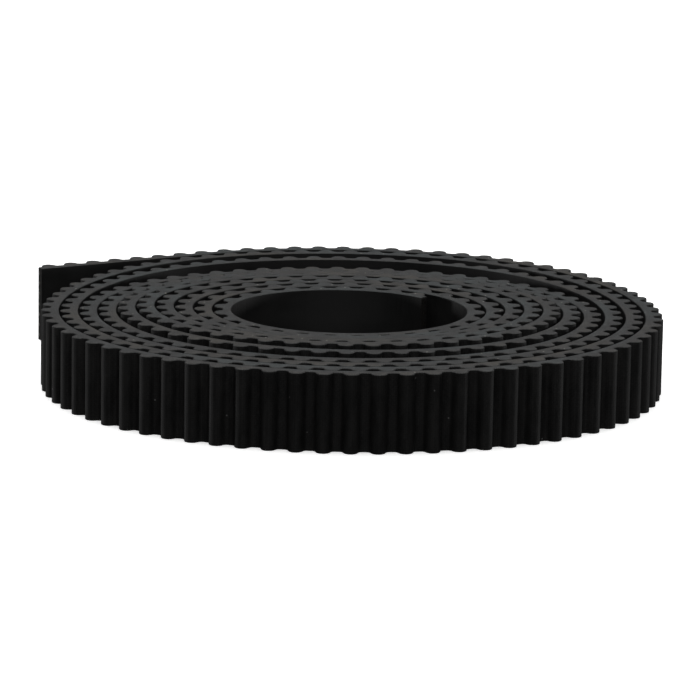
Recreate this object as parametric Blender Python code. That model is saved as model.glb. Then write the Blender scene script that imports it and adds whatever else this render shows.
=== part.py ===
"""Open-ended timing belt, 2 mm tooth pitch and 6 mm wide, wound into a loose coil with its teeth outwards.

Lengths are in millimetres. The coil stands on the belt's lower cut edge, its axis is Z, and it winds
outwards anticlockwise as seen from above. The centreline of the belt is the pitch line, where the
tension cords lie. The belt is one moulded laminate of backing, cords and teeth. Each ply is a body of
its own, and near both free ends the plies are divided at the lands between teeth, so that the ends flex.
"""
import bmesh
import bpy
import numpy as np

MILLIMETRE = 0.001

# Belt section, measured outwards from the pitch line.
PITCH = 2.0
WIDTH = 6.0
BACK_FACE = -0.376
CORD_HALF = 0.14
PLY_GAP = 0.02
LAND = 0.254
TIP = LAND + 0.75
ROOT_HALF = 0.68
CROWN_HALF = 0.42

# Coil: the back face is followed from the inner end, and each rate is millimetres per turn.
START_ANGLE = np.radians(43.0)
END_ANGLE = np.radians(120.0)
WHOLE_TURNS = 10
LEFT_START = 8.755
LEFT_RATE = 1.490
RIGHT_START = 7.785
RIGHT_RATE = 1.480
RIGHT_SLACK = 0.60
RIGHT_SLACK_TURNS = (4.6, 10.0)
FRONT_START = 9.935
FRONT_RATE = 1.445
BACK_START = 2.965
BACK_RATE = 1.440
BACK_SLACK = (3.00, 1.20, 0.15)
BACK_SLACK_FROM = 7.3
BACK_SLACK_RISE = 0.6
SIDE_DRIFT = 0.08
FRONT_RAISE = 0.60
FRONT_RAISE_TURNS = (0.4, 4.6, 6.8)
BACK_RAISE = 0.48
BACK_RAISE_TURNS = (3.9, 7.3)
TAIL_LENGTH = 15.5
COIL_STEPS = 24000
TAIL_STEPS = 400
TAIL_SPARE = 4.0

# Flexing ends: teeth in each segment, counted from the free end, and the slit between two segments.
OUTER_SEGMENTS = (5, 5, 5, 5, 5, 5)
INNER_SEGMENTS = (3, 3, 3)
SLIT = 0.3

# Materials: base colour, roughness and metallic value.
BACKING_RUBBER = (0.010, 0.010, 0.010), 0.55, 0.0
GLASS_CORD = (0.160, 0.145, 0.120), 0.60, 0.0
TOOTH_RUBBER = (0.006, 0.006, 0.007), 0.70, 0.0
CREASE_ANGLE = np.radians(25.0)


def smooth(value, low, high):
    """Eased step from 0 to 1 between two values."""
    t = np.clip((value - low) / (high - low), 0.0, 1.0)
    return t * t * (3.0 - 2.0 * t)


def end_turn():
    return WHOLE_TURNS + (END_ANGLE - START_ANGLE) / (2.0 * np.pi)


def back_slack(turn):
    """How much looser the outer turns lie at the back, taken up in a step for each turn."""
    slack = 0.0
    for number, gap in enumerate(BACK_SLACK):
        start = BACK_SLACK_FROM + number
        slack = slack + gap * smooth(turn, start, start + BACK_SLACK_RISE)
    return slack


def coil_point(turn):
    """Back-face position of the coil, and how far the belt rides up, after a number of turns."""
    angle = START_ANGLE + 2.0 * np.pi * turn
    left = LEFT_START + LEFT_RATE * turn
    right = RIGHT_START + RIGHT_RATE * turn + RIGHT_SLACK * smooth(turn, *RIGHT_SLACK_TURNS)
    front = FRONT_START + FRONT_RATE * turn
    back = BACK_START + BACK_RATE * turn
    x = 0.5 * (right - left) + 0.5 * (right + left) * np.cos(angle)
    y = 0.5 * (back - front) + 0.5 * (back + front) * np.sin(angle)
    y = y + SIDE_DRIFT * turn * np.cos(angle) ** 6
    y = y + back_slack(turn) * smooth(np.sin(angle), -0.1, 1.0)
    start, peak, stop = FRONT_RAISE_TURNS
    front_ride = FRONT_RAISE * smooth(turn, start, peak) * (1.0 - smooth(turn, peak, stop))
    back_ride = BACK_RAISE * (1.0 - smooth(turn, *BACK_RAISE_TURNS))
    z = 0.5 * (front_ride + back_ride) - 0.5 * (front_ride - back_ride) * np.sin(angle)
    return np.stack([x, y, z], axis=1)


def centreline():
    """Dense pitch line: plan points, outward normals, base heights and arc length."""
    curve = coil_point(np.linspace(0.0, end_turn(), COIL_STEPS + 1))
    step = curve[-1] - curve[-2]
    step[2] = 0.0
    step /= np.linalg.norm(step)
    distance = np.linspace(0.0, TAIL_LENGTH + TAIL_SPARE, TAIL_STEPS + 1)[1:, None]
    curve = np.concatenate([curve, curve[-1] + step * distance])
    slope = np.gradient(curve[:, :2], axis=0)
    slope /= np.linalg.norm(slope, axis=1)[:, None]
    normal = np.stack([slope[:, 1], -slope[:, 0]], axis=1)
    plan = curve[:, :2] - BACK_FACE * normal
    lengths = np.linalg.norm(np.diff(plan, axis=0), axis=1)
    arc = np.concatenate([[0.0], np.cumsum(lengths)])
    return plan, normal, curve[:, 2], arc


PLAN, NORMAL, BASE, ARC = centreline()
TEETH = int((ARC[COIL_STEPS] + TAIL_LENGTH) / PITCH)


def place(along, offset):
    """Points on the belt's lower edge at distances along the pitch line and offsets outwards from it."""
    along = np.asarray(along, dtype=float)
    x = np.interp(along, ARC, PLAN[:, 0]) + offset * np.interp(along, ARC, NORMAL[:, 0])
    y = np.interp(along, ARC, PLAN[:, 1]) + offset * np.interp(along, ARC, NORMAL[:, 1])
    return np.stack([x, y, np.interp(along, ARC, BASE)], axis=1)


def stations(first, last):
    """Distances of the land centres, the end ones drawn back by half a slit where the belt goes on."""
    along = np.arange(first, last + 1) * PITCH
    if first > 0:
        along[0] += 0.5 * SLIT
    if last < TEETH:
        along[-1] -= 0.5 * SLIT
    return along


def plain_ply(first, last, inner, outer):
    """Lower edge of the backing or the cord ply: points, and the triangles between its two rows."""
    along = stations(first, last)
    count = len(along)
    links = []
    for k in range(count - 1):
        links.append((k, k + 1, count + k))
        links.append((k + 1, count + k + 1, count + k))
    return np.concatenate([place(along, inner), place(along, outer)]), links


def tooth_ply(first, last):
    """Lower edge of the tooth ply: a thin web with one four-point tooth between two stations."""
    along = stations(first, last)
    inner = place(along, CORD_HALF + PLY_GAP)
    count = len(inner)
    centres = (np.arange(first, last) + 0.5) * PITCH
    profile = centres[:, None] + np.array([-ROOT_HALF, -CROWN_HALF, CROWN_HALF, ROOT_HALF])
    heights = np.tile([LAND, TIP, TIP, LAND], len(centres))
    profile = np.concatenate([along[:1], profile.ravel(), along[-1:]])
    heights = np.concatenate([[LAND], heights, [LAND]])
    links = []
    for k in range(count - 1):
        start = count + 4 * k
        links.append((k, start + 1, start))
        links.append((k, start + 2, start + 1))
        links.append((k, k + 1, start + 2))
        links.append((k + 1, start + 3, start + 2))
        links.append((k + 1, start + 4, start + 3))
    links.append((count - 1, count + 4 * (count - 1) + 1, count + 4 * (count - 1)))
    return np.concatenate([inner, place(profile, heights)]), links


def extruded(name, points, links, material):
    """Closed ply: the triangles of its lower cut edge, extruded up by the belt's width."""
    shape = bmesh.new()
    corners = [shape.verts.new(point) for point in points * MILLIMETRE]
    lower = [shape.faces.new([corners[i] for i in link]) for link in links]
    raised = bmesh.ops.extrude_face_region(shape, geom=lower)["geom"]
    upper = [item for item in raised if isinstance(item, bmesh.types.BMVert)]
    bmesh.ops.translate(shape, verts=upper, vec=(0.0, 0.0, WIDTH * MILLIMETRE))
    bmesh.ops.recalc_face_normals(shape, faces=shape.faces)
    data = bpy.data.meshes.new(name)
    shape.to_mesh(data)
    shape.free()
    data.materials.append(material)
    data.shade_smooth()
    data.set_sharp_from_angle(angle=CREASE_ANGLE)
    thing = bpy.data.objects.new(name, data)
    bpy.context.scene.collection.objects.link(thing)
    return thing


def principled(name, colour, roughness, metallic):
    material = bpy.data.materials.new(name)
    material.use_nodes = True
    shader = material.node_tree.nodes["Principled BSDF"]
    shader.inputs["Base Color"].default_value = (*colour, 1.0)
    shader.inputs["Roughness"].default_value = roughness
    shader.inputs["Metallic"].default_value = metallic
    return material


def spans():
    """Every length of belt: name, first and last station, the station it bends at, and what it bends on.

    The parent comes before its child: the coil, then each chain of segments out to its free end.
    """
    first = sum(INNER_SEGMENTS)
    last = TEETH - sum(OUTER_SEGMENTS)
    result = [("coil", first, last, None, None)]
    parent = "coil"
    for number in range(len(OUTER_SEGMENTS), 0, -1):
        teeth = OUTER_SEGMENTS[number - 1]
        name = "outer_end_%d" % number
        result.append((name, last, last + teeth, last, parent))
        parent = name
        last += teeth
    parent = "coil"
    for number in range(len(INNER_SEGMENTS), 0, -1):
        teeth = INNER_SEGMENTS[number - 1]
        name = "inner_end_%d" % number
        result.append((name, first - teeth, first, first, parent))
        parent = name
        first -= teeth
    return result


def plies(first, last):
    """Points and triangles of the three plies between two stations."""
    return {
        "backing": plain_ply(first, last, BACK_FACE, -CORD_HALF - PLY_GAP),
        "cord_ply": plain_ply(first, last, -CORD_HALF, CORD_HALF),
        "tooth_ply": tooth_ply(first, last),
    }


def base_centre(lengths):
    """Middle of the underside of the box that holds every ply."""
    points = np.concatenate([points for shapes in lengths.values() for points, links in shapes.values()])
    low = points.min(axis=0)
    high = points.max(axis=0)
    return np.array([0.5 * (low[0] + high[0]), 0.5 * (low[1] + high[1]), low[2]])


def pivot(name, point, parent, parent_point):
    """Empty on the axis that a length of belt bends about, carried by the length before it."""
    holder = bpy.data.objects.new("pivot_" + name, None)
    holder.parent = parent
    holder.location = (point - parent_point) * MILLIMETRE
    bpy.context.scene.collection.objects.link(holder)
    return holder


def build():
    for thing in list(bpy.data.objects):
        bpy.data.objects.remove(thing, do_unlink=True)
    materials = {
        "backing": principled("backing_rubber", *BACKING_RUBBER),
        "cord_ply": principled("glass_cord", *GLASS_CORD),
        "tooth_ply": principled("tooth_rubber", *TOOTH_RUBBER),
    }
    lengths = {name: plies(first, last) for name, first, last, bend, parent in spans()}
    centre = base_centre(lengths)
    pivots = {None: (None, centre)}
    for name, first, last, bend, parent in spans():
        point = centre if bend is None else place([bend * PITCH], 0.0)[0]
        holder, holder_point = pivots[parent]
        start = holder_point if holder else centre
        pivots[name] = pivot(name, point, holder, start), point
        for ply, (points, links) in lengths[name].items():
            thing = extruded(ply + "_" + name, points - point, links, materials[ply])
            thing.parent = pivots[name][0]


build()
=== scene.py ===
"""Looks of a loose coil of timing belt: nylon-faced teeth, ground back, slit edges and glass-fibre cords.

Lengths of the belt are in millimetres until place() turns them into the frame's metres, and the stage is
in metres. The belt is swept along the same pitch line as the CAD plies. One long length rides on the
coil, and a shorter one lies across each hinge of the two free ends, so that no slit shows. Places along
the belt are counted in stations, the middles of the lands between teeth, from the inner end.
"""
import math

import bpy
import numpy as np
from mathutils import Matrix, Vector


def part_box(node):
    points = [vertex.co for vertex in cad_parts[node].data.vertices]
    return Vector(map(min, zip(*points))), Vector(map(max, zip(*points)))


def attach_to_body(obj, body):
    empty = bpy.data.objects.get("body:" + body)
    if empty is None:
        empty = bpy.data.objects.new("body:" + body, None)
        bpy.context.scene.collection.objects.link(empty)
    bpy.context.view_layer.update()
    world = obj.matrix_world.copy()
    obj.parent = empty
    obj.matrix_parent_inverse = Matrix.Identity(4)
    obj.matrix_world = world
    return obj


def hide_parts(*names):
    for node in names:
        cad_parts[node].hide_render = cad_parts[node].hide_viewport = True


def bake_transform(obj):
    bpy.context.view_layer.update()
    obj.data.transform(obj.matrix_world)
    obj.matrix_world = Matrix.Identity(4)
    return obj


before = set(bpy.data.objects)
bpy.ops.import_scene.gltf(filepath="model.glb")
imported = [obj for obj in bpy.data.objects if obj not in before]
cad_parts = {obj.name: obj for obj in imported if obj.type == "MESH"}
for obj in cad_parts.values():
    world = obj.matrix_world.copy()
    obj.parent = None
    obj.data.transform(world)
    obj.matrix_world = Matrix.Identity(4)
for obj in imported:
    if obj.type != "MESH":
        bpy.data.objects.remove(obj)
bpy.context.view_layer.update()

MILLIMETRE = 0.001

# Belt section, measured outwards from the pitch line, and the half width of a CAD tooth's crown.
PITCH = 2.0
WIDTH = 6.0
BACK_FACE = -0.376
LAND = 0.254
TIP = LAND + 0.75
CHAMFER = 0.045
FACING = 0.09
CROWN_HALF = 0.42

# Rounded tooth: tip, flank and root radii, how far the flank's centre lies across the tooth, the points
# on each arc, and the steps of the backing for each tooth.
TIP_RADIUS = 0.555
FLANK_RADIUS = 1.0
ROOT_RADIUS = 0.28
FLANK_ACROSS = 0.40
TIP_POINTS = 5
FLANK_POINTS = 3
ROOT_POINTS = 4
BACK_STEPS = 4

# Tension cords: how many, their size, and how far they stand out of a cut end.
CORDS = 7
CORD_RADIUS = 0.14
CORD_PROUD = 0.03
CORD_SIDES = 8
CORD_STEP = 1.0

# Route of the back face, as in the CAD: each rate is millimetres per turn.
START_ANGLE = math.radians(43.0)
END_ANGLE = math.radians(120.0)
WHOLE_TURNS = 10
LEFT_START = 8.755
LEFT_RATE = 1.490
RIGHT_START = 7.785
RIGHT_RATE = 1.480
RIGHT_SLACK = 0.60
RIGHT_SLACK_TURNS = (4.6, 10.0)
FRONT_START = 9.935
FRONT_RATE = 1.445
BACK_START = 2.965
BACK_RATE = 1.440
BACK_SLACK = (3.00, 1.20, 0.15)
BACK_SLACK_FROM = 7.3
BACK_SLACK_RISE = 0.6
SIDE_DRIFT = 0.08
FRONT_RAISE = 0.60
FRONT_RAISE_TURNS = (0.4, 4.6, 6.8)
BACK_RAISE = 0.48
BACK_RAISE_TURNS = (3.9, 7.3)
TAIL_LENGTH = 15.5
COIL_STEPS = 24000
TAIL_STEPS = 400
TAIL_SPARE = 4.0

# Segments of the two flexing ends, as in the CAD, in teeth.
OUTER_SEGMENTS = 6
OUTER_TEETH = 5
INNER_SEGMENTS = 3
INNER_TEETH = 3

# Each visible length starts so many teeth before its hinge; two stations lie so many teeth to either side
# of it.
OVERLAP = 2
OUTER_BEND = 1.9
INNER_BEND = 0.95

# Surfaces: edge creases in degrees, the pitch of the facing's threads, and the tints that are not grey.
SOLID_CREASE = 40.0
CORD_CREASE = 60.0
THREAD_PITCH = 0.17
COOL_RUBBER = (0.034, 0.041, 0.042, 1.0)
WARM_RUBBER = (0.043, 0.039, 0.033, 1.0)
BRIGHT_FLECK = (0.30, 0.29, 0.26, 1.0)
TORN_DARK = (0.002, 0.0018, 0.0016, 1.0)
TORN_PALE = (0.007, 0.006, 0.005, 1.0)
FIBRE_DARK = (0.012, 0.009, 0.007, 1.0)
FIBRE_PALE = (0.040, 0.033, 0.024, 1.0)

# Stage, in metres and degrees; the camera aims at a height over the floor in millimetres.
FLOOR_HALF = 1.5
FLOOR_GLOW = 0.5
WORLD_LIGHT = 0.07
CAMERA_ELEVATION = 12.5
CAMERA_ROLL = 1.0
CAMERA_DISTANCE = 0.350
CAMERA_LENS = 228.34
CAMERA_SENSOR = 36.0
CAMERA_AIM_HEIGHT = 2.28


def smooth(value, low, high):
    """Eased step from 0 to 1 between two values."""
    t = np.clip((value - low) / (high - low), 0.0, 1.0)
    return t * t * (3.0 - 2.0 * t)


def back_slack(turn):
    """How much looser the outer turns lie at the back, taken up in a step for each turn."""
    slack = 0.0
    for number, gap in enumerate(BACK_SLACK):
        start = BACK_SLACK_FROM + number
        slack = slack + gap * smooth(turn, start, start + BACK_SLACK_RISE)
    return slack


def coil_point(turn):
    """Back-face position of the coil, and how far the belt rides up, after a number of turns."""
    angle = START_ANGLE + 2.0 * np.pi * turn
    left = LEFT_START + LEFT_RATE * turn
    right = RIGHT_START + RIGHT_RATE * turn + RIGHT_SLACK * smooth(turn, *RIGHT_SLACK_TURNS)
    front = FRONT_START + FRONT_RATE * turn
    back = BACK_START + BACK_RATE * turn
    x = 0.5 * (right - left) + 0.5 * (right + left) * np.cos(angle)
    y = 0.5 * (back - front) + 0.5 * (back + front) * np.sin(angle)
    y = y + SIDE_DRIFT * turn * np.cos(angle) ** 6
    y = y + back_slack(turn) * smooth(np.sin(angle), -0.1, 1.0)
    start, peak, stop = FRONT_RAISE_TURNS
    front_ride = FRONT_RAISE * smooth(turn, start, peak) * (1.0 - smooth(turn, peak, stop))
    back_ride = BACK_RAISE * (1.0 - smooth(turn, *BACK_RAISE_TURNS))
    z = 0.5 * (front_ride + back_ride) - 0.5 * (front_ride - back_ride) * np.sin(angle)
    return np.stack([x, y, z], axis=1)


def centreline():
    """Dense pitch line: plan points, outward normals, base heights and arc length."""
    end_turn = WHOLE_TURNS + (END_ANGLE - START_ANGLE) / (2.0 * np.pi)
    curve = coil_point(np.linspace(0.0, end_turn, COIL_STEPS + 1))
    step = curve[-1] - curve[-2]
    step[2] = 0.0
    step /= np.linalg.norm(step)
    distance = np.linspace(0.0, TAIL_LENGTH + TAIL_SPARE, TAIL_STEPS + 1)[1:, None]
    curve = np.concatenate([curve, curve[-1] + step * distance])
    slope = np.gradient(curve[:, :2], axis=0)
    slope /= np.linalg.norm(slope, axis=1)[:, None]
    normal = np.stack([slope[:, 1], -slope[:, 0]], axis=1)
    plan = curve[:, :2] - BACK_FACE * normal
    steps = np.linalg.norm(np.diff(plan, axis=0), axis=1)
    arc = np.concatenate([[0.0], np.cumsum(steps)])
    return plan, normal, curve[:, 2], arc


PLAN, NORMAL, BASE, ARC = centreline()
TEETH = int((ARC[COIL_STEPS] + TAIL_LENGTH) / PITCH)
COIL_FIRST = INNER_SEGMENTS * INNER_TEETH
COIL_LAST = TEETH - OUTER_SEGMENTS * OUTER_TEETH


def plan_point(along, offset):
    """Plan points at distances along the pitch line and offsets outwards from it."""
    along = np.asarray(along, dtype=float)
    x = np.interp(along, ARC, PLAN[:, 0]) + offset * np.interp(along, ARC, NORMAL[:, 0])
    y = np.interp(along, ARC, PLAN[:, 1]) + offset * np.interp(along, ARC, NORMAL[:, 1])
    return np.stack([x, y], axis=-1)


def frame_shift():
    """Where the coil's own centre lies in the CAD frame, from the box of the coil's teeth."""
    centres = (np.arange(COIL_FIRST, COIL_LAST) + 0.5) * PITCH
    crowns = np.concatenate([plan_point(centres - CROWN_HALF, TIP), plan_point(centres + CROWN_HALF, TIP)])
    low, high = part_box("tooth_ply_coil")
    middle = 0.5 * (np.array(low[:2]) + np.array(high[:2])) / MILLIMETRE
    return middle - 0.5 * (crowns.min(axis=0) + crowns.max(axis=0))


SHIFT = frame_shift()


def place(along, offset, height):
    """Points in the CAD frame, in metres: along the pitch line, outwards from it, and up the width."""
    plan = plan_point(along, offset) + SHIFT
    level = np.interp(along, ARC, BASE) + height
    return np.concatenate([plan, level[..., None]], axis=-1) * MILLIMETRE


# Tooth profile -------------------------------------------------------------------------------------


def arc_points(centre, radius, start, stop, count):
    """Points on an arc, and the directions from its centre."""
    angles = np.linspace(start, stop, count)
    directions = np.stack([np.cos(angles), np.sin(angles)], axis=1)
    return np.array(centre) + radius * directions, directions


def half_tooth():
    """Right half of a tooth from its tip to the middle of the land: points and outward normals."""
    tip_height = TIP - TIP_RADIUS
    drop = math.sqrt((FLANK_RADIUS - TIP_RADIUS) ** 2 - FLANK_ACROSS ** 2)
    flank_height = tip_height - drop
    tip_stop = math.atan2(drop, FLANK_ACROSS)
    root_height = LAND + ROOT_RADIUS
    reach = FLANK_RADIUS + ROOT_RADIUS
    flank_stop = math.asin((root_height - flank_height) / reach)
    root_x = -FLANK_ACROSS + reach * math.cos(flank_stop)
    root_start = math.pi + flank_stop
    tip, tip_out = arc_points((0.0, tip_height), TIP_RADIUS, 0.5 * math.pi, tip_stop, TIP_POINTS)
    flank_centre = (-FLANK_ACROSS, flank_height)
    flank, flank_out = arc_points(flank_centre, FLANK_RADIUS, tip_stop, flank_stop, FLANK_POINTS)
    root_centre = (root_x, root_height)
    root, root_in = arc_points(root_centre, ROOT_RADIUS, root_start, 1.5 * math.pi, ROOT_POINTS)
    land = np.array([[0.5 * PITCH, LAND]])
    upward = np.array([[0.0, 1.0]])
    points = np.concatenate([tip, flank[1:], root[1:], land])
    return points, np.concatenate([tip_out, flank_out[1:], -root_in[1:], upward])


def tooth_rows(first, last):
    """Positions and offsets of the facing's outer and inner faces, and the distance travelled over it."""
    right, right_normal = half_tooth()
    mirror = np.array([-1.0, 1.0])
    points = np.concatenate([right[::-1] * mirror, right[1:]])
    normals = np.concatenate([right_normal[::-1] * mirror, right_normal[1:]])
    inner = points - FACING * normals
    travel = np.concatenate([[0.0], np.cumsum(np.linalg.norm(np.diff(points, axis=0), axis=1))])
    centres = (np.arange(first, last) + 0.5) * PITCH
    repeat = len(points) - 1
    rows = {}
    rows["along"] = (centres[:, None] + points[None, :repeat, 0]).ravel()
    rows["inner_along"] = (centres[:, None] + inner[None, :repeat, 0]).ravel()
    rows["offset"] = np.tile(points[:repeat, 1], len(centres))
    rows["inner_offset"] = np.tile(inner[:repeat, 1], len(centres))
    rows["travel"] = (np.arange(first, last)[:, None] * travel[-1] + travel[None, :repeat]).ravel()
    ends = {
        "along": last * PITCH,
        "inner_along": last * PITCH,
        "offset": LAND,
        "inner_offset": LAND - FACING,
        "travel": last * travel[-1],
    }
    return {key: np.append(values, ends[key]) for key, values in rows.items()}


# Swept solids --------------------------------------------------------------------------------------

# Material numbers, in the order in which build_belt() gives the materials.
GROUND_BACK, BACKING_CUT, BACKING_END = range(3)
TOOTH_FACING, TOOTH_CUT, FACING_CUT, TOOTH_END = range(4)
CORD = 0


class Solid:
    """Collects vertices, faces, material numbers and UV corners of closed shapes for one mesh."""

    def __init__(self):
        self.points = []
        self.faces = []
        self.materials = []
        self.corners = []
        self.count = 0

    def add(self, points, faces, materials, corners):
        self.points.append(points)
        self.faces += [tuple(index + self.count for index in face) for face in faces]
        self.materials += materials
        self.corners += corners
        self.count += len(points)

    def sweep(self, columns, bands, end_material):
        """Closed sweep along the belt.

        Each column is (along, offset, height, travel) over all rows, in order round the section. Each
        band between two columns is (material, "face" or "edge"). A face's texture lies along the travel
        and up the height, and a cut edge's along the belt and across its thickness.
        """
        rows = len(columns[0][0])
        wide = len(columns)
        points = np.stack([place(c[0], c[1], c[2]) for c in columns], axis=1).reshape(-1, 3)
        faces = []
        materials = []
        corners = []
        for j, (material, kind) in enumerate(bands):
            here = columns[j]
            there = columns[(j + 1) % wide]
            item = 2 if kind == "face" else 1
            run = 3 if kind == "face" else 0
            for i in range(rows - 1):
                a = i * wide + j
                b = i * wide + (j + 1) % wide
                faces.append((a, b, b + wide, a + wide))
                materials.append(material)
                corners += [
                    (here[run][i], here[item][i]),
                    (there[run][i], there[item][i]),
                    (there[run][i + 1], there[item][i + 1]),
                    (here[run][i + 1], here[item][i + 1]),
                ]
        for row, order in ((0, -1), (rows - 1, 1)):
            loop = list(range(wide))[::order]
            faces.append(tuple(row * wide + j for j in loop))
            materials.append(end_material)
            corners += [(columns[j][1][row], columns[j][2][row]) for j in loop]
        self.add(points, faces, materials, corners)

    def build(self, name, materials, crease):
        """The collected shapes as one mesh object, sharp where faces meet at more than the crease."""
        data = bpy.data.meshes.new(name)
        data.from_pydata(np.concatenate(self.points).tolist(), [], self.faces)
        data.polygons.foreach_set("material_index", self.materials)
        layer = data.uv_layers.new(name="belt")
        layer.data.foreach_set("uv", np.array(self.corners, dtype=np.float32).ravel())
        for material in materials:
            data.materials.append(material)
        data.update()
        data.shade_smooth()
        data.set_sharp_from_angle(angle=math.radians(crease))
        thing = bpy.data.objects.new(name, data)
        bpy.context.scene.collection.objects.link(thing)
        return thing


def flat(values, level):
    """The same level for every value."""
    return np.full(len(values), level)


def backing_solid(first, last):
    """Rubber from the ground back face to the pitch line."""
    along = np.arange(first * BACK_STEPS, last * BACK_STEPS + 1) * PITCH / BACK_STEPS
    back = flat(along, BACK_FACE)
    eased = back + CHAMFER
    outer = flat(along, 0.0)

    def column(offset, height):
        return along, offset, flat(along, height), along

    columns = [
        column(outer, 0.0),
        column(outer, WIDTH),
        column(eased, WIDTH),
        column(back, WIDTH - CHAMFER),
        column(back, CHAMFER),
        column(eased, 0.0),
    ]
    ground = GROUND_BACK, "face"
    cut = BACKING_CUT, "edge"
    solid = Solid()
    solid.sweep(columns, [ground, cut, cut, ground, cut, cut], BACKING_END)
    return solid


def tooth_solid(first, last):
    """Tooth rubber from the pitch line, and the nylon facing over it."""
    rows = tooth_rows(first, last)
    along, inner_along = rows["along"], rows["inner_along"]
    outer, inner, travel = rows["offset"], rows["inner_offset"], rows["travel"]
    pitch_line = flat(along, 0.0)

    def column(position, offset, height):
        return position, offset, flat(along, height), travel

    core = [
        column(inner_along, inner, 0.0),
        column(inner_along, inner, WIDTH),
        column(inner_along, pitch_line, WIDTH),
        column(inner_along, pitch_line, 0.0),
    ]
    hidden = TOOTH_CUT, "face"
    cut = TOOTH_CUT, "edge"
    solid = Solid()
    solid.sweep(core, [hidden, cut, hidden, cut], TOOTH_END)
    eased_along = along + (inner_along - along) * CHAMFER / FACING
    eased = outer + (inner - outer) * CHAMFER / FACING
    skin = [
        column(eased_along, eased, 0.0),
        column(along, outer, CHAMFER),
        column(along, outer, WIDTH - CHAMFER),
        column(eased_along, eased, WIDTH),
        column(inner_along, inner, WIDTH),
        column(inner_along, inner, 0.0),
    ]
    woven = TOOTH_FACING, "face"
    threads = FACING_CUT, "edge"
    solid.sweep(skin, [threads, woven, threads, threads, woven, threads], TOOTH_END)
    return solid


def cord_solid(first, last):
    """Round cords side by side on the pitch line; at a cut end they stand a little proud."""
    start = first * PITCH - (CORD_PROUD if first == 0 else 0.0)
    stop = last * PITCH + (CORD_PROUD if last == TEETH else 0.0)
    along = np.linspace(start, stop, int((last - first) * PITCH / CORD_STEP) + 1)
    solid = Solid()
    for number in range(CORDS):
        middle = (number + 0.5) * WIDTH / CORDS
        columns = []
        for side in range(CORD_SIDES):
            angle = -2.0 * math.pi * side / CORD_SIDES
            offset = flat(along, CORD_RADIUS * math.cos(angle))
            height = flat(along, middle + CORD_RADIUS * math.sin(angle))
            columns.append((along, offset, height, along))
        solid.sweep(columns, [(CORD, "face")] * CORD_SIDES, CORD)
    return solid


# Materials -----------------------------------------------------------------------------------------


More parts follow.
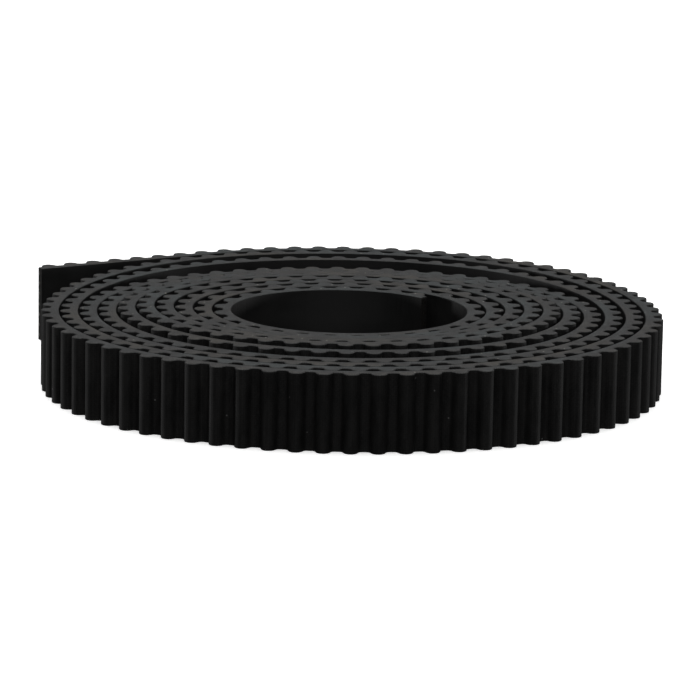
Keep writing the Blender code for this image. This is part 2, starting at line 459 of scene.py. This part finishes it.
class Shader:
    """A Principled material and short calls for the nodes that feed it."""

    def __init__(self, name, roughness, specular):
        self.material = bpy.data.materials.new(name)
        self.material.use_nodes = True
        self.tree = self.material.node_tree
        self.surface = self.tree.nodes["Principled BSDF"]
        self.surface.inputs["Roughness"].default_value = roughness
        self.surface.inputs["Specular IOR Level"].default_value = specular
        uv = self.tree.nodes.new("ShaderNodeUVMap")
        uv.uv_map = "belt"
        self.uv = uv.outputs["UV"]

    def link(self, source, target):
        """Feeds a socket from another socket, or sets its own value."""
        if isinstance(source, bpy.types.NodeSocket):
            self.tree.links.new(source, target)
        else:
            target.default_value = source

    def stretched(self, along, across):
        """The belt's coordinates in millimetres, multiplied along and across it."""
        node = self.tree.nodes.new("ShaderNodeMapping")
        node.inputs["Scale"].default_value = (along, across, 1.0)
        self.link(self.uv, node.inputs["Vector"])
        return node.outputs["Vector"]

    def noise(self, along, across, detail=3.0, rough=0.55):
        """Soft noise with so many features to the millimetre along and across the belt."""
        node = self.tree.nodes.new("ShaderNodeTexNoise")
        node.noise_dimensions = "2D"
        node.inputs["Scale"].default_value = 1.0
        node.inputs["Detail"].default_value = detail
        node.inputs["Roughness"].default_value = rough
        self.link(self.stretched(along, across), node.inputs["Vector"])
        return node.outputs["Fac"]

    def math(self, operation, first, second=0.0):
        """Arithmetic on one value or two."""
        node = self.tree.nodes.new("ShaderNodeMath")
        node.operation = operation
        self.link(first, node.inputs[0])
        self.link(second, node.inputs[1])
        return node.outputs["Value"]

    def ramp(self, value, low, high, start, stop):
        """value from low to high, brought to the range start to stop and held there."""
        node = self.tree.nodes.new("ShaderNodeMapRange")
        self.link(value, node.inputs["Value"])
        for socket, number in zip(("From Min", "From Max", "To Min", "To Max"), (low, high, start, stop)):
            node.inputs[socket].default_value = number
        return node.outputs["Result"]

    def mix(self, share, first, second):
        """Two colours mixed; the node's sockets share their names, so the colour ones go by number."""
        node = self.tree.nodes.new("ShaderNodeMix")
        node.data_type = "RGBA"
        self.link(share, node.inputs["Factor"])
        self.link(first, node.inputs[6])
        self.link(second, node.inputs[7])
        return node.outputs[2]

    def thread_wave(self, axis, pitch):
        """Round threads of one direction: 1 on the crown of each, 0 between them."""
        node = self.tree.nodes.new("ShaderNodeSeparateXYZ")
        self.link(self.uv, node.inputs["Vector"])
        turned = self.math("MULTIPLY", node.outputs[axis], math.pi / pitch)
        return self.math("ABSOLUTE", self.math("SINE", turned))

    def checks(self, pitch):
        """Checkerboard: which of the two threads lies on top."""
        node = self.tree.nodes.new("ShaderNodeTexChecker")
        node.inputs["Color1"].default_value = grey(1.0)
        node.inputs["Color2"].default_value = grey(0.0)
        node.inputs["Scale"].default_value = 1.0 / pitch
        self.link(self.uv, node.inputs["Vector"])
        return node.outputs["Fac"]

    def specks(self, scale, size, rarity):
        """Round specks in a share of the cells; a rarity of 1 leaves none."""
        node = self.tree.nodes.new("ShaderNodeTexVoronoi")
        node.voronoi_dimensions = "2D"
        node.inputs["Scale"].default_value = scale
        self.link(self.uv, node.inputs["Vector"])
        near = self.ramp(node.outputs["Distance"], size, size * 0.5, 0.0, 1.0)
        split = self.tree.nodes.new("ShaderNodeSeparateColor")
        self.link(node.outputs["Color"], split.inputs["Color"])
        chosen = self.math("GREATER_THAN", split.outputs[0], rarity)
        return self.math("MULTIPLY", near, chosen)

    def colour(self, value):
        self.link(value, self.surface.inputs["Base Color"])

    def roughness(self, value):
        self.link(value, self.surface.inputs["Roughness"])

    def bump(self, height, distance, strength):
        """Relief: so many millimetres for each unit of height."""
        node = self.tree.nodes.new("ShaderNodeBump")
        node.inputs["Distance"].default_value = distance * MILLIMETRE
        node.inputs["Strength"].default_value = strength
        self.link(height, node.inputs["Height"])
        self.link(node.outputs["Normal"], self.surface.inputs["Normal"])


def grey(level, warmth=0.0):
    """Grey colour, redder and less blue by a share of its level."""
    return (level * (1.0 + warmth), level, level * (1.0 - warmth), 1.0)


def facing_material():
    """Woven nylon soaked in rubber: a fine plain weave, matt and nearly black."""
    shader = Shader("nylon_facing", 0.65, 0.20)
    warp = shader.thread_wave("X", THREAD_PITCH)
    weft = shader.thread_wave("Y", THREAD_PITCH)
    over = shader.checks(THREAD_PITCH)
    warp_up = shader.math("MULTIPLY", warp, over)
    weft_up = shader.math("MULTIPLY", weft, shader.math("SUBTRACT", 1.0, over))
    weave = shader.math("ADD", warp_up, weft_up)
    streak = shader.noise(1.1, 0.3, 4.0, 0.65)
    fine = shader.noise(14.0, 14.0, 2.0)
    threads = shader.mix(weave, grey(0.0036), grey(0.0080, 0.01))
    worn = shader.mix(shader.ramp(streak, 0.46, 0.74, 0.0, 0.65), threads, grey(0.0140, 0.03))
    dusty = shader.mix(shader.specks(1.2, 0.09, 0.985), worn, grey(0.11))
    nap = shader.noise(5.0, 3.5, 3.0, 0.7)
    fluff = shader.mix(shader.ramp(nap, 0.60, 0.78, 0.0, 0.6), dusty, grey(0.022))
    streaked = shader.mix(shader.ramp(streak, 0.48, 0.32, 0.0, 0.8), fluff, grey(0.0022))
    shader.colour(streaked)
    relief = shader.math("ADD", weave, fine)
    shader.roughness(shader.ramp(relief, 0.3, 1.6, 0.76, 0.58))
    shader.bump(relief, 0.014, 0.7)
    return shader.material


def cut_rubber_material():
    """Slit edge: paler rubber with knife marks along the belt, painted paler partly as a highlight,
    mottling and a few bright fibres.
    """
    shader = Shader("slit_rubber_edge", 0.62, 0.35)
    marks = shader.noise(0.55, 16.0, 3.0, 0.7)
    mottle = shader.noise(2.2, 2.2, 4.0, 0.65)
    patch = shader.noise(0.045, 0.2, 2.0, 0.5)
    drift = shader.noise(0.35, 0.3, 4.0, 0.65)
    fine = shader.noise(6.0, 6.0, 3.0)
    grain = shader.noise(18.0, 18.0, 2.0)
    coarse = shader.mix(shader.ramp(mottle, 0.32, 0.7, 0.0, 1.0), grey(0.020), grey(0.043))
    base = shader.mix(shader.ramp(fine, 0.5, 0.75, 0.0, 0.5), coarse, grey(0.018))
    cool = shader.mix(shader.ramp(patch, 0.52, 0.38, 0.0, 0.8), base, COOL_RUBBER)
    warm = shader.mix(shader.ramp(patch, 0.50, 0.64, 0.0, 0.8), cool, WARM_RUBBER)
    dull = shader.mix(shader.ramp(drift, 0.42, 0.62, 0.0, 0.75), warm, grey(0.019))
    # Paler along the knife marks: partly the marks' own tone, partly a painted highlight.
    knife_marks_and_highlight = shader.mix(shader.ramp(marks, 0.45, 0.75, 0.0, 0.5), dull, grey(0.060))
    flecked = shader.mix(shader.specks(1.6, 0.12, 0.975), knife_marks_and_highlight, BRIGHT_FLECK)
    shader.colour(flecked)
    shader.roughness(shader.ramp(marks, 0.3, 0.7, 0.52, 0.74))
    shader.bump(shader.math("ADD", marks, grain), 0.012, 0.6)
    return shader.material


def facing_edge_material():
    """Cut edge of the facing: pale thread ends, partly a painted highlight, in dark rubber, partly painted
    shade between turns.
    """
    shader = Shader("nylon_facing_edge_painted_shade_highlight", 0.7, 0.3)
    ends = shader.thread_wave("X", THREAD_PITCH)
    fuzz = shader.noise(9.0, 9.0, 3.0)
    share = shader.math("MULTIPLY", ends, shader.ramp(fuzz, 0.35, 0.65, 0.3, 1.0))
    # Dark between the thread ends: painted shade of the contact lines between turns; pale on the ends:
    # partly a painted highlight.
    shader.colour(shader.mix(share, grey(0.014), grey(0.052, 0.01)))
    shader.roughness(shader.ramp(fuzz, 0.3, 0.7, 0.6, 0.8))
    shader.bump(share, 0.02, 0.7)
    return shader.material


def back_material():
    """Ground back: smooth matt rubber with fine grinding lines across the belt and soft smudges."""
    shader = Shader("ground_back_rubber", 0.6, 0.28)
    lines = shader.noise(11.0, 0.25, 3.0, 0.65)
    smudge = shader.noise(0.28, 0.4, 4.0, 0.6)
    pits = shader.specks(5.0, 0.10, 0.86)
    dark = shader.mix(shader.ramp(smudge, 0.35, 0.7, 0.0, 1.0), grey(0.0046), grey(0.0078, 0.02))
    shader.colour(shader.mix(shader.ramp(lines, 0.4, 0.8, 0.0, 0.6), dark, grey(0.0085)))
    shader.roughness(shader.ramp(shader.math("ADD", lines, smudge), 0.7, 1.3, 0.5, 0.68))
    shader.bump(shader.math("SUBTRACT", lines, pits), 0.008, 0.6)
    return shader.material


def trimmed_end_material():
    """Face of a trimmed end: dark rubber, torn across and a little brown."""
    shader = Shader("trimmed_end_rubber", 0.75, 0.25)
    torn = shader.noise(6.0, 3.0, 4.0, 0.65)
    shader.colour(shader.mix(torn, TORN_DARK, TORN_PALE))
    shader.bump(torn, 0.05, 0.8)
    return shader.material


def cord_material():
    """Twisted glass fibre with its brown bonding coat."""
    shader = Shader("glass_fibre_cord", 0.5, 0.5)
    twist = shader.noise(2.5, 6.0, 2.0)
    fibre = shader.noise(30.0, 30.0, 2.0)
    shader.colour(shader.mix(shader.ramp(fibre, 0.4, 0.65, 0.0, 1.0), FIBRE_DARK, FIBRE_PALE))
    shader.roughness(shader.ramp(twist, 0.3, 0.7, 0.4, 0.65))
    shader.bump(fibre, 0.01, 0.6)
    return shader.material


# Belt lengths --------------------------------------------------------------------------------------


def lengths():
    """Every length of belt: name, first and last station, and the two bodies and two stations either side
    of its hinge. The coil's own length has none of these.
    """
    result = [("coil", COIL_FIRST + OVERLAP, COIL_LAST - OVERLAP, None, None)]
    parent = "coil"
    for number in range(OUTER_SEGMENTS, 0, -1):
        name = "outer_end_%d" % number
        hinge = TEETH - number * OUTER_TEETH
        last = hinge + OUTER_TEETH - OVERLAP if number > 1 else TEETH
        bend = (hinge - OUTER_BEND, hinge + OUTER_BEND)
        result.append((name, hinge - OVERLAP, last, (parent, name), bend))
        parent = name
    parent = "coil"
    for number in range(INNER_SEGMENTS, 0, -1):
        name = "inner_end_%d" % number
        hinge = number * INNER_TEETH
        first = hinge - INNER_TEETH + OVERLAP if number > 1 else 0
        bend = (hinge + INNER_BEND, hinge - INNER_BEND)
        result.append((name, first, hinge + OVERLAP, (parent, name), bend))
        parent = name
    return result


def attach(piece, bodies):
    """The coil's length rides on the coil; the others stay where they are built, on no body."""
    if bodies is None:
        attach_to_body(piece, "coil")
        return
    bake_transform(piece)


def build_belt():
    """Three visible pieces for each length of belt, in place of the CAD plies of the same length."""
    rubber = cut_rubber_material()
    trimmed = trimmed_end_material()
    back = [back_material(), rubber, trimmed]
    teeth = [facing_material(), rubber, facing_edge_material(), trimmed]
    cords = [cord_material()]
    plies = (
        ("backing", "rubber_back_", backing_solid, back, "backing", SOLID_CREASE),
        ("cord_ply", "tension_cords_", cord_solid, cords, "cord", CORD_CREASE),
        ("tooth_ply", "faced_teeth_", tooth_solid, teeth, "tooth", SOLID_CREASE),
    )
    for name, first, last, bodies, bend in lengths():
        for node, title, shape, materials, slot, crease in plies:
            piece = shape(first, last).build(title + name, materials, crease)
            attach(piece, bodies)
            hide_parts(node + "_" + name)


# Stage ---------------------------------------------------------------------------------------------


def build_floor():
    """White paper that glows a little, so that it stays as pale as its surroundings."""
    data = bpy.data.meshes.new("floor")
    signs = ((-1, -1), (1, -1), (1, 1), (-1, 1))
    corners = [(x * FLOOR_HALF, y * FLOOR_HALF, 0.0) for x, y in signs]
    data.from_pydata(corners, [], [(0, 1, 2, 3)])
    floor = bpy.data.objects.new("floor", data)
    bpy.context.scene.collection.objects.link(floor)
    material = bpy.data.materials.new("floor_paper")
    material.use_nodes = True
    surface = material.node_tree.nodes["Principled BSDF"]
    surface.inputs["Base Color"].default_value = grey(0.93)
    surface.inputs["Roughness"].default_value = 0.9
    surface.inputs["Emission Color"].default_value = grey(1.0)
    surface.inputs["Emission Strength"].default_value = FLOOR_GLOW
    data.materials.append(material)
    floor.visible_glossy = False
    floor.visible_diffuse = False


def softbox(name, position, size, energy):
    """Square area light that points at the middle of the coil: metres, and watts of energy."""
    data = bpy.data.lights.new(name, "AREA")
    data.shape = "SQUARE"
    data.size = size
    data.energy = energy
    lamp = bpy.data.objects.new(name, data)
    bpy.context.scene.collection.objects.link(lamp)
    lamp.location = position
    lamp.rotation_euler = (-Vector(position)).to_track_quat("-Z", "Y").to_euler()
    return lamp


def build_lights():
    softbox("overhead_softbox", (0.0, 0.05, 0.55), 0.70, 3.8)
    softbox("front_softbox", (0.05, -0.55, 0.18), 0.20, 0.54)
    softbox("left_softbox", (-0.50, 0.12, 0.03), 0.06, 0.78)
    softbox("right_softbox", (0.50, 0.12, 0.03), 0.06, 0.66)
    rear = softbox("rear_softbox", (0.0, 0.50, 0.10), 0.30, 0.9)
    rear.visible_glossy = False
    world = bpy.data.worlds.new("studio")
    bpy.context.scene.world = world
    world.use_nodes = True
    background = world.node_tree.nodes["Background"]
    background.inputs["Color"].default_value = grey(1.0)
    background.inputs["Strength"].default_value = WORLD_LIGHT
    bpy.context.scene.view_settings.view_transform = "Standard"


def build_camera():
    """Low view of the front of the coil, a little rolled."""
    elevation = math.radians(CAMERA_ELEVATION)
    data = bpy.data.cameras.new("camera")
    data.sensor_width = CAMERA_SENSOR
    data.lens = CAMERA_LENS
    data.clip_start = 0.01
    data.clip_end = 10.0
    camera = bpy.data.objects.new("camera", data)
    bpy.context.scene.collection.objects.link(camera)
    forward = Vector((0.0, math.cos(elevation), -math.sin(elevation)))
    aim = Vector((*SHIFT, CAMERA_AIM_HEIGHT)) * MILLIMETRE
    position = Matrix.Translation(aim - forward * CAMERA_DISTANCE)
    turn = forward.to_track_quat("-Z", "Y").to_matrix().to_4x4()
    roll = Matrix.Rotation(math.radians(CAMERA_ROLL), 4, "Z")
    camera.matrix_world = position @ turn @ roll
    bpy.context.scene.camera = camera


build_belt()
build_floor()
build_lights()
build_camera()
